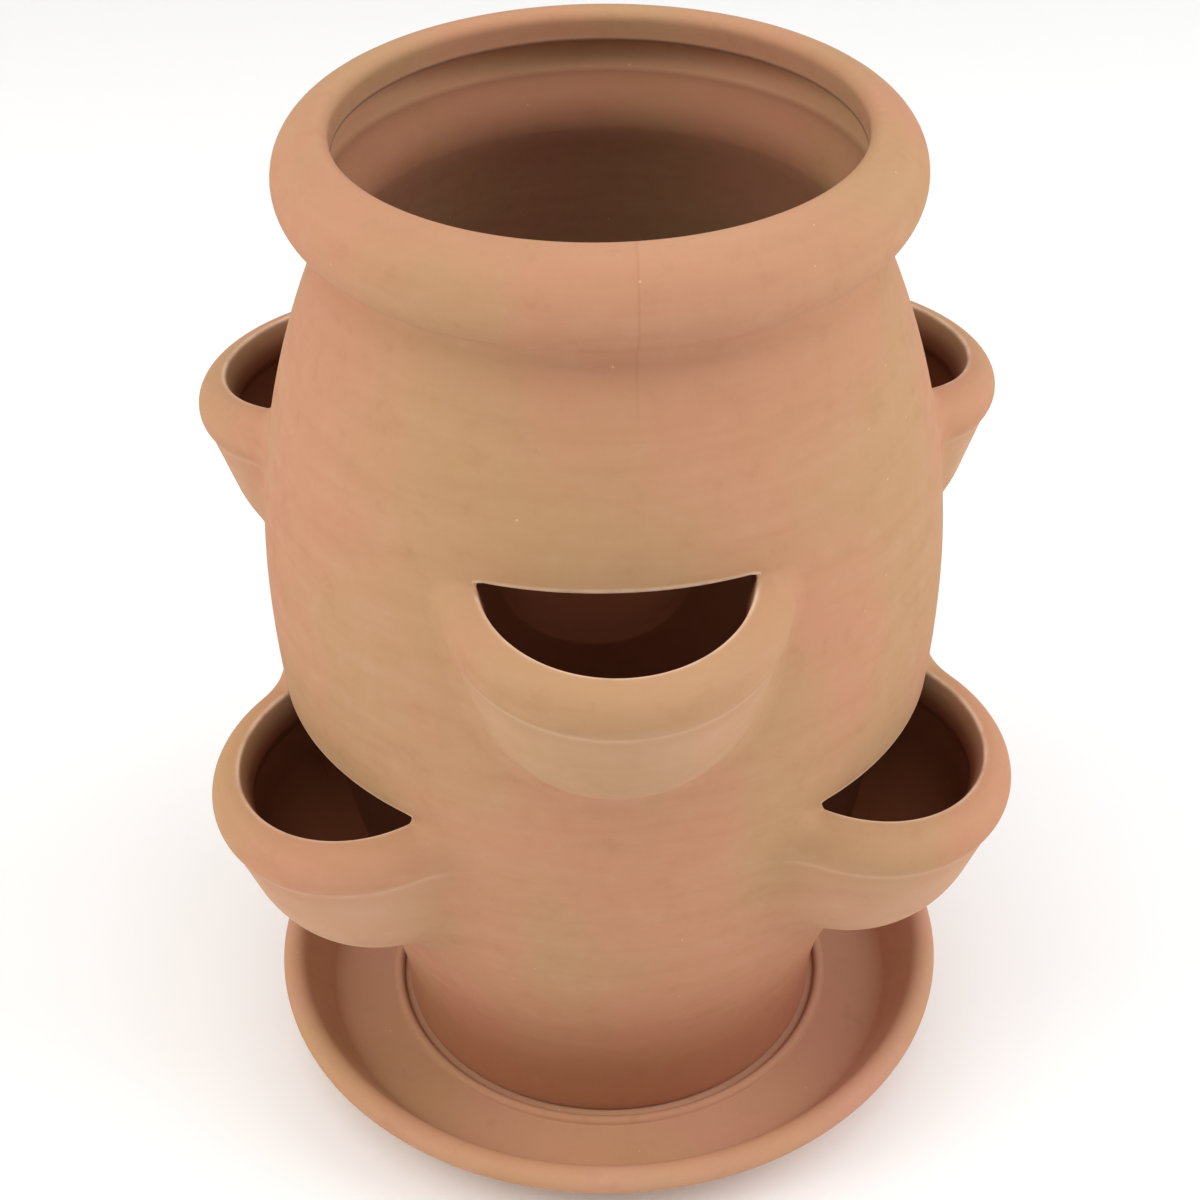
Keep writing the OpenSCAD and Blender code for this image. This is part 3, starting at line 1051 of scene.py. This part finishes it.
@dataclass
class Saucer:
    """The round drip saucer, with the low ring on its floor that the jar's foot stands in."""

    radius: float = 125.5
    height: float = 29.0
    floor: float = FOOT_Z
    flat: float = 105.5
    base: float = 103.0
    rim: float = 4.75
    inner_round: float = 6.0
    base_round: float = 3.0
    ring_mid: float = 81.8
    ring_half: float = 2.1
    ring_height: float = 2.0
    ring_soft: float = 0.4
    columns: int = 288

    @staticmethod
    def tangent(p: Point, mid: Point, radius: float, side: int) -> Point:
        """Where a line from a point touches a circle.

        Args:
            p: The point.
            mid: Centre of the circle.
            radius: Radius of the circle.
            side: 1 for the circle's left side as seen from the point, -1 for its right side.

        Returns:
            The point of touch.
        """
        gap = math.dist(p, mid)
        a = math.atan2(mid[1] - p[1], mid[0] - p[0]) + side * math.asin(radius / gap)
        reach = math.sqrt(gap * gap - radius * radius)
        return p[0] + reach * math.cos(a), p[1] + reach * math.sin(a)

    def profile(self) -> Array:
        """Profile from the underside's centre, out and up, over the rim and in to the floor's centre."""
        mid = (self.radius - self.rim, self.height - self.rim)
        toe, heel = (self.base, 0.0), (self.flat, self.floor)
        out, into = self.tangent(toe, mid, self.rim, -1), self.tangent(heel, mid, self.rim, 1)
        rise_out, rise_in = direction(toe, out), direction(heel, into)
        turn = math.radians(rise_out) / 2.0
        run = self.base_round * math.tan(turn)
        toe_mid = (self.base - run, self.base_round)
        lean = math.radians(rise_in)
        run_in = self.inner_round * math.tan(lean / 2.0)
        heel_mid = (self.flat - run_in, self.floor + self.inner_round)
        ring_r = (self.ring_half**2 + self.ring_height**2) / (2.0 * self.ring_height)
        ring_c = (self.ring_mid, self.floor + self.ring_height - ring_r)
        half = math.degrees(math.acos((self.floor - ring_c[1]) / ring_r))
        ring_foot = self.ring_half + self.ring_soft
        toe_end = (self.base + run * math.cos(2 * turn), run * math.sin(2 * turn))
        heel_start = (self.flat + run_in * math.cos(lean), self.floor + run_in * math.sin(lean))
        return chain(
            line((0.0, 0.0), (self.base - run, 0.0), 6.0),
            arc(toe_mid, self.base_round, -90.0, rise_out - 90.0, 0.6),
            line(toe_end, out, 1.6),
            arc(mid, self.rim, rise_out - 90.0, rise_in + 90.0, 0.9),
            line(into, heel_start, 1.6),
            arc(heel_mid, self.inner_round, rise_in - 90.0, -90.0, 0.9),
            line((heel_mid[0], self.floor), (self.ring_mid + ring_foot, self.floor), 2.6),
            arc(ring_c, ring_r, 90.0 - half, 90.0 + half, 0.5),
            line((self.ring_mid - ring_foot, self.floor), (0.0, self.floor), 6.0),
        )

    def build(self, hand: ThrowingHand) -> bpy.types.Object:
        """Makes the saucer's mesh, closed at both poles by the welding of their rows."""
        profile = self.profile()
        shell = Shell()
        index = shell.add(around(full_turn(self.columns), profile[:, :1], profile[:, 1:]))
        shell.faces.append(grid_faces(index))
        return shell.bake("saucer_clay", hand.shift)


# ---------- finishes


def linear(hex_colour: str) -> tuple[float, float, float, float]:
    """Turns an sRGB hex colour such as "#C78F6C" into linear red, green, blue and a full alpha."""
    parts = [int(hex_colour[i : i + 2], 16) / 255.0 for i in (1, 3, 5)]
    r, g, b = [c / 12.92 if c <= 0.04045 else ((c + 0.055) / 1.055) ** 2.4 for c in parts]
    return r, g, b, 1.0


def put(
    tree: bpy.types.NodeTree, kind: str, inputs: dict[str | int, object] | None = None, **settings: object
) -> bpy.types.Node:
    """Adds one node to a material.

    Args:
        tree: The material's node tree.
        kind: What the node is, as Blender's name of its type without the words ShaderNode before it.
        inputs: For each input, by name or number, an output socket to link or a plain value to set.
        settings: The node's own properties.

    Returns:
        The new node.
    """
    node = tree.nodes.new(f"ShaderNode{kind}")
    for key, value in settings.items():
        setattr(node, key, value)
    for key, value in (inputs or {}).items():
        socket = node.inputs[key]
        if isinstance(value, bpy.types.NodeSocket):
            tree.links.new(value, socket)
        else:
            socket.default_value = value
    return node


class Firing(Enum):
    """How far each clay piece took its colour in the kiln."""

    BARREL = "barrel"
    POCKET = "pocket"
    SAUCER = "saucer"


@dataclass(frozen=True)
class Coat:
    """A thin coat of another colour, laid where one or more fields climb between two values.

    Its share of the colour climbs from least to most along the first ramp, and each further ramp scales
    it from 0 to 1. A ramp is a field's name with the values where it starts and ends.
    """

    colour: str
    most: float
    ramps: tuple[tuple[str, float, float], ...]
    least: float = 0.0


@dataclass(frozen=True)
class Terracotta:
    """Unglazed red earthenware, thrown or pressed, smoothed with a wet sponge and fired once.

    Sizes ending in _mm are real sizes of the patterns. Grains of grog, under 1 mm wide, lie in some of the
    cells of grog_mm.
    It gives the eye a dead matt, chalky tan with soft pink and yellowish clouds, faint level lines from the
    potter's rib, pale grains of grog, paler rubbed edges that also stand for painted highlights, painted
    shade inside, and painted shade darkening towards the foot.
    """

    firing: Firing
    tan: str = "#B38B66"
    pink: str = "#BA8668"
    ochre: str = "#B18D61"
    shade: str = "#87532F"
    # Colour of the painted shade inside the pot and the pockets.
    depth_shade: str = "#6A2E11"
    # Pale colour of rubbed edges, laid on also as a painted highlight along them.
    rubbed_and_highlight: str = "#EBCBB0"
    dust: str = "#C5A082"
    grog: str = "#E9CFB6"
    # Colour, share and heights of the painted shade that darkens the clay towards the foot.
    foot_shade_colour: str = "#A05E42"
    foot_shade: float = 0.6
    foot_shade_heights: Point = (0.12, 0.015)
    mould_line: float = 0.0
    line_across: float = 0.0066
    line_half: float = 0.0001
    line_soft: float = 0.0006
    cloud_mm: float = 70.0
    mottle_mm: float = 9.0
    rib_mm: float = 3.2
    rib_length_mm: float = 60.0
    grain_mm: float = 0.9
    grog_mm: float = 7.0
    dustiness: float = 0.12
    roughness: float = 0.88
    roughness_spread: Point = (-0.05, 0.07)
    relief_m: float = 0.0006
    relief: tuple[tuple[str, float], ...] = (("rib", 0.30), ("grain", 0.12), ("mottle", 0.45))

    def coats(self) -> tuple[Coat, ...]:
        """The coats over the tan clay, from the lowest to the highest, with places in metres.

        A painted shade, darker and redder, fades upwards from the foot. The faint upright line on the rim's
        front is where the mould's halves met: a thin dark line, with the clay on its right a touch paler.
        """
        x, half, soft = self.line_across, self.line_half, self.line_soft
        on_front = (("ahead", -0.03, -0.06), ("up", 0.308, 0.326))
        left, right = ("across", x - half - soft, x - half), ("across", x + half + soft, x + half)
        return (
            Coat(self.pink, 1.0, (("clouds", 0.38, 0.62),)),
            Coat(self.ochre, 0.6, (("wide_clouds", 0.5, 0.72),)),
            Coat(self.shade, 0.16, (("mottle", 0.52, 0.8),)),
            Coat(self.dust, 0.20, (("mottle", 0.48, 0.2),)),
            Coat(self.shade, 0.07, (("rib", 0.5, 0.7),)),
            Coat(self.dust, 0.10, (("rib", 0.5, 0.3),)),
            Coat(self.grog, 0.42, (("grog_distance", 0.07, 0.03), ("grog_pick", 0.84, 0.9))),
            # Painted shade towards the foot.
            Coat(self.foot_shade_colour, self.foot_shade, (("up", *self.foot_shade_heights),)),
            Coat(self.shade, self.mould_line, (*on_front, left, right)),
            Coat(self.dust, 0.35 * self.mould_line, (*on_front, ("across", x, x + 0.0008))),
            Coat(self.dust, self.dustiness, (("faces_up", 0.0, 1.0), ("mottle", 0.3, 0.6))),
            Coat(self.dust, 0.65, (("wide_clouds", 0.35, 0.6), ("pressed", 0.0, 1.0)), least=0.25),
            # Pale rubbed edges, which are also painted highlights.
            Coat(self.rubbed_and_highlight, 0.9, (("mottle", 0.25, 0.6), ("worn", 0.0, 1.0)), least=0.35),
            # Painted shade inside.
            Coat(self.depth_shade, 0.9, (("inside", 0.0, 1.0),)),
        )

    def noises(self) -> dict[str, tuple[float, float, float, float, float]]:
        """Each noise's size in mm, its squeeze along the height, detail, roughness and place."""
        lengthened = self.rib_length_mm / self.rib_mm / 2.0
        return {
            "clouds": (self.cloud_mm, 0.7, 2.0, 0.5, 0.0),
            "wide_clouds": (self.cloud_mm * 1.3, 0.8, 2.0, 0.5, 3.1),
            "mottle": (self.mottle_mm, 1.0, 4.0, 0.6, 1.7),
            "rib": (self.rib_length_mm, lengthened, 3.0, 0.6, 5.3),
            "grain": (self.grain_mm, 1.0, 3.0, 0.7, 0.4),
        }

    def fields(self, tree: bpy.types.NodeTree) -> dict[str, bpy.types.NodeSocket]:
        """Makes the fields that the coats and the relief follow: place, noises, grains and painted values.

        Args:
            tree: The material's node tree.

        Returns:
            The output socket of each field, by name.
        """
        place = put(tree, "TexCoord").outputs["Object"]
        across, ahead, up = put(tree, "SeparateXYZ", {0: place}).outputs
        normal = put(tree, "NewGeometry").outputs["Normal"]
        cells = put(tree, "TexVoronoi", {"Vector": place, "Scale": 1.0 / (self.grog_mm * MM)})
        fields = {
            "across": across,
            "ahead": ahead,
            "up": up,
            "faces_up": put(tree, "SeparateXYZ", {0: normal}).outputs[2],
            "grog_distance": cells.outputs["Distance"],
            "grog_pick": put(tree, "SeparateColor", {0: cells.outputs["Color"]}).outputs[0],
        }
        for name in PAINTED:
            fields[name] = put(tree, "Attribute", attribute_name=name).outputs["Fac"]
        for name, (size_mm, squeeze, detail, rough, move) in self.noises().items():
            moved = {"Location": (move, move * 0.7, move * 1.3), "Scale": (1.0, 1.0, squeeze)}
            where = put(tree, "Mapping", {0: place, **moved}).outputs[0]
            noise = {"Vector": where, "Scale": 1.0 / (size_mm * MM), "Detail": detail, "Roughness": rough}
            fields[name] = put(tree, "TexNoise", noise).outputs["Fac"]
        return fields

    def build(self) -> bpy.types.Material:
        """Makes the material: the coats in turn over the tan clay, a fine relief and a matt skin."""
        material = bpy.data.materials.new(f"fired_terracotta_{self.firing.value}")
        material.use_nodes = True
        tree = material.node_tree
        tree.nodes.clear()
        fields = self.fields(tree)

        def ramp(name: str, ends: Point, levels: tuple[object, object]) -> bpy.types.NodeSocket:
            """Climbs between two levels where a field does between its ends, straight on a painted one."""
            inputs = ("Value", "From Min", "From Max", "To Min", "To Max")
            values = dict(zip(inputs, (fields[name], *ends, *levels)))
            kind = "LINEAR" if name in PAINTED else "SMOOTHSTEP"
            return put(tree, "MapRange", values, interpolation_type=kind).outputs[0]

        colour: object = linear(self.tan)
        for coat in self.coats():
            least, share = coat.least, coat.most
            for name, *ends in coat.ramps:
                least, share = 0.0, ramp(name, ends, (least, share))
            mixed = {0: share, 6: colour, 7: linear(coat.colour)}
            colour = put(tree, "Mix", mixed, data_type="RGBA").outputs[2]
        height: object = 0.0
        for name, share in self.relief:
            scaled = {0: fields[name], 1: share, 2: height}
            height = put(tree, "Math", scaled, operation="MULTIPLY_ADD").outputs[0]
        bump = put(tree, "Bump", {"Strength": 0.55, "Distance": self.relief_m, "Height": height})
        rough = ramp("mottle", (0.3, 0.7), tuple(self.roughness + spread for spread in self.roughness_spread))
        clay = {"Base Color": colour, "Roughness": rough, "Normal": bump.outputs[0]}
        skin = put(tree, "BsdfPrincipled", {**clay, "IOR": 1.5, "Specular IOR Level": 0.25})
        put(tree, "OutputMaterial", {0: skin.outputs[0]})
        return material


# ---------- studio


@dataclass(frozen=True)
class Softbox:
    """One square softbox: its place, the point it faces and its width in metres, its power and its tint."""

    name: str
    place: tuple[float, float, float]
    aim: tuple[float, float, float]
    size: float
    power: float
    tint: str = "#FFFFFF"

    def build(self) -> None:
        """Makes the light, turned towards its point."""
        data = bpy.data.lights.new(self.name, "AREA")
        data.shape, data.size, data.energy = "SQUARE", self.size, self.power
        data.color = linear(self.tint)[:3]
        light = bpy.data.objects.new(self.name, data)
        light.location = self.place
        light.rotation_mode = "QUATERNION"
        light.rotation_quaternion = (Vector(self.aim) - Vector(self.place)).to_track_quat("-Z", "Y")
        bpy.context.scene.collection.objects.link(light)


@dataclass(frozen=True)
class Studio:
    """The camera of the photograph, a white paper sweep and soft light from both sides and above.

    The camera's place is in mm, its angles are in degrees, and the sweep's sizes are in metres.
    """

    lens: float = 67.08
    sensor: float = 36.0
    place: tuple[float, float, float] = (-22.34, -625.9, 642.5)
    heading: float = 1.9
    pitch: float = 35.81
    roll: float = 0.7535
    shift_y: float = -0.01328
    paper: str = "#FAFAFA"
    flat_radius: float = 1.6
    paper_radius: float = 4.2
    rise: float = 0.5
    gap: float = 0.0004
    surround: float = 0.55
    softboxes: tuple[Softbox, ...] = (
        Softbox("left_softbox", (-1.5, -0.35, 1.2), (0.0, 0.0, 0.15), 1.2, 14.0, "#FFFBF5"),
        Softbox("right_softbox", (1.5, -0.25, 1.1), (0.0, 0.0, 0.15), 1.2, 15.0),
        Softbox("top_softbox", (-0.1, -0.45, 2.1), (0.0, 0.05, 0.25), 2.0, 15.5),
    )

    def camera(self) -> None:
        """Makes the camera from its place, heading, downward pitch and roll."""
        h, p, a = (math.radians(v) for v in (self.heading, self.pitch, self.roll))
        ahead = Vector((math.sin(h) * math.cos(p), math.cos(h) * math.cos(p), -math.sin(p)))
        level = Vector((math.cos(h), -math.sin(h), 0.0))
        rise = level.cross(ahead)
        right = level * math.cos(a) - rise * math.sin(a)
        top = rise * math.cos(a) + level * math.sin(a)
        data = bpy.data.cameras.new("photo_camera")
        data.lens, data.sensor_width, data.sensor_fit = self.lens, self.sensor, "HORIZONTAL"
        data.shift_y, data.clip_start, data.clip_end = self.shift_y, 0.05, 20.0
        camera = bpy.data.objects.new("photo_camera", data)
        matrix = Matrix((right, top, -ahead)).transposed().to_4x4()
        matrix.translation = Vector(self.place) * MM
        camera.matrix_world = matrix
        bpy.context.scene.collection.objects.link(camera)
        bpy.context.scene.camera = camera

    def sweep(self) -> None:
        """Makes the white floor, a hair under the saucer, which curves up far away all round.

        Formula: height = rise ((d - flat_radius) held above 0)^2 - gap, with d the distance in metres.
        """
        flat, curved = np.linspace(0.0, self.flat_radius, 9), np.linspace(1.7, self.paper_radius, 26)
        d = np.concatenate([flat, curved])[::-1, None]
        height = self.rise * np.maximum(d - self.flat_radius, 0.0) ** 2 - self.gap
        shell = Shell()
        shell.faces.append(grid_faces(shell.add(around(full_turn(96), d, height) / MM)))
        sweep = shell.bake("white_sweep", lambda points: points)
        material = bpy.data.materials.new("matt_white_paper")
        material.use_nodes = True
        skin = material.node_tree.nodes["Principled BSDF"]
        skin.inputs["Base Color"].default_value = linear(self.paper)
        skin.inputs["Roughness"].default_value = 0.9
        sweep.data.materials.append(material)

    def build(self) -> None:
        """Makes the camera, the sweep, the lights and the white surround."""
        self.camera()
        self.sweep()
        for softbox in self.softboxes:
            softbox.build()
        world = bpy.data.worlds.new("white_studio")
        world.use_nodes = True
        ground = world.node_tree.nodes["Background"]
        ground.inputs["Color"].default_value = linear("#FFFFFF")
        ground.inputs["Strength"].default_value = self.surround
        bpy.context.scene.world = world
        bpy.context.scene.view_settings.view_transform = "Standard"


# ---------- the planter


def corners(box: tuple[Vector, Vector]) -> list[list[float]]:
    """Lowest and highest corner of a box as plain lists."""
    return [[float(v) for v in corner] for corner in box]


def main() -> None:
    """Builds the planter's pieces in order, dresses them and sets the studio round them."""
    logging.basicConfig(level=logging.INFO, format="%(message)s")
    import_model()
    barrel, cup, hand = BarrelForm(), PocketForm(), ThrowingHand()
    jar_clay = Terracotta(Firing.BARREL, mould_line=0.14).build()
    pocket_clay = Terracotta(Firing.POCKET).build()
    saucer_clay = Terracotta(Firing.SAUCER, tan="#B98A69", pink="#BB876F", foot_shade=0.0).build()
    made = [("jar_body", "jar", "jar_clay", jar_clay, Jar(barrel, cup, SEATS).build(hand))]
    for seat in SEATS:
        pocket = Pocket(seat, barrel, cup, ClayJoint(reach=seat.smear)).build(hand)
        made.append((seat.node, "jar", "pocket_clay", pocket_clay, pocket))
    made.append(("saucer", "saucer", "saucer_clay", saucer_clay, Saucer().build(ThrowingHand(0.001))))
    for node, body, slot, clay, piece in made:
        piece.data.materials.append(clay)
        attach(piece, body)
        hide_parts(node)
        size = len(piece.data.vertices), len(piece.data.polygons)
        log.info("%s: %d vertices, %d faces, rides on %s", piece.name, *size, body)
    Studio().build()


if __name__ == "__main__":
    main()
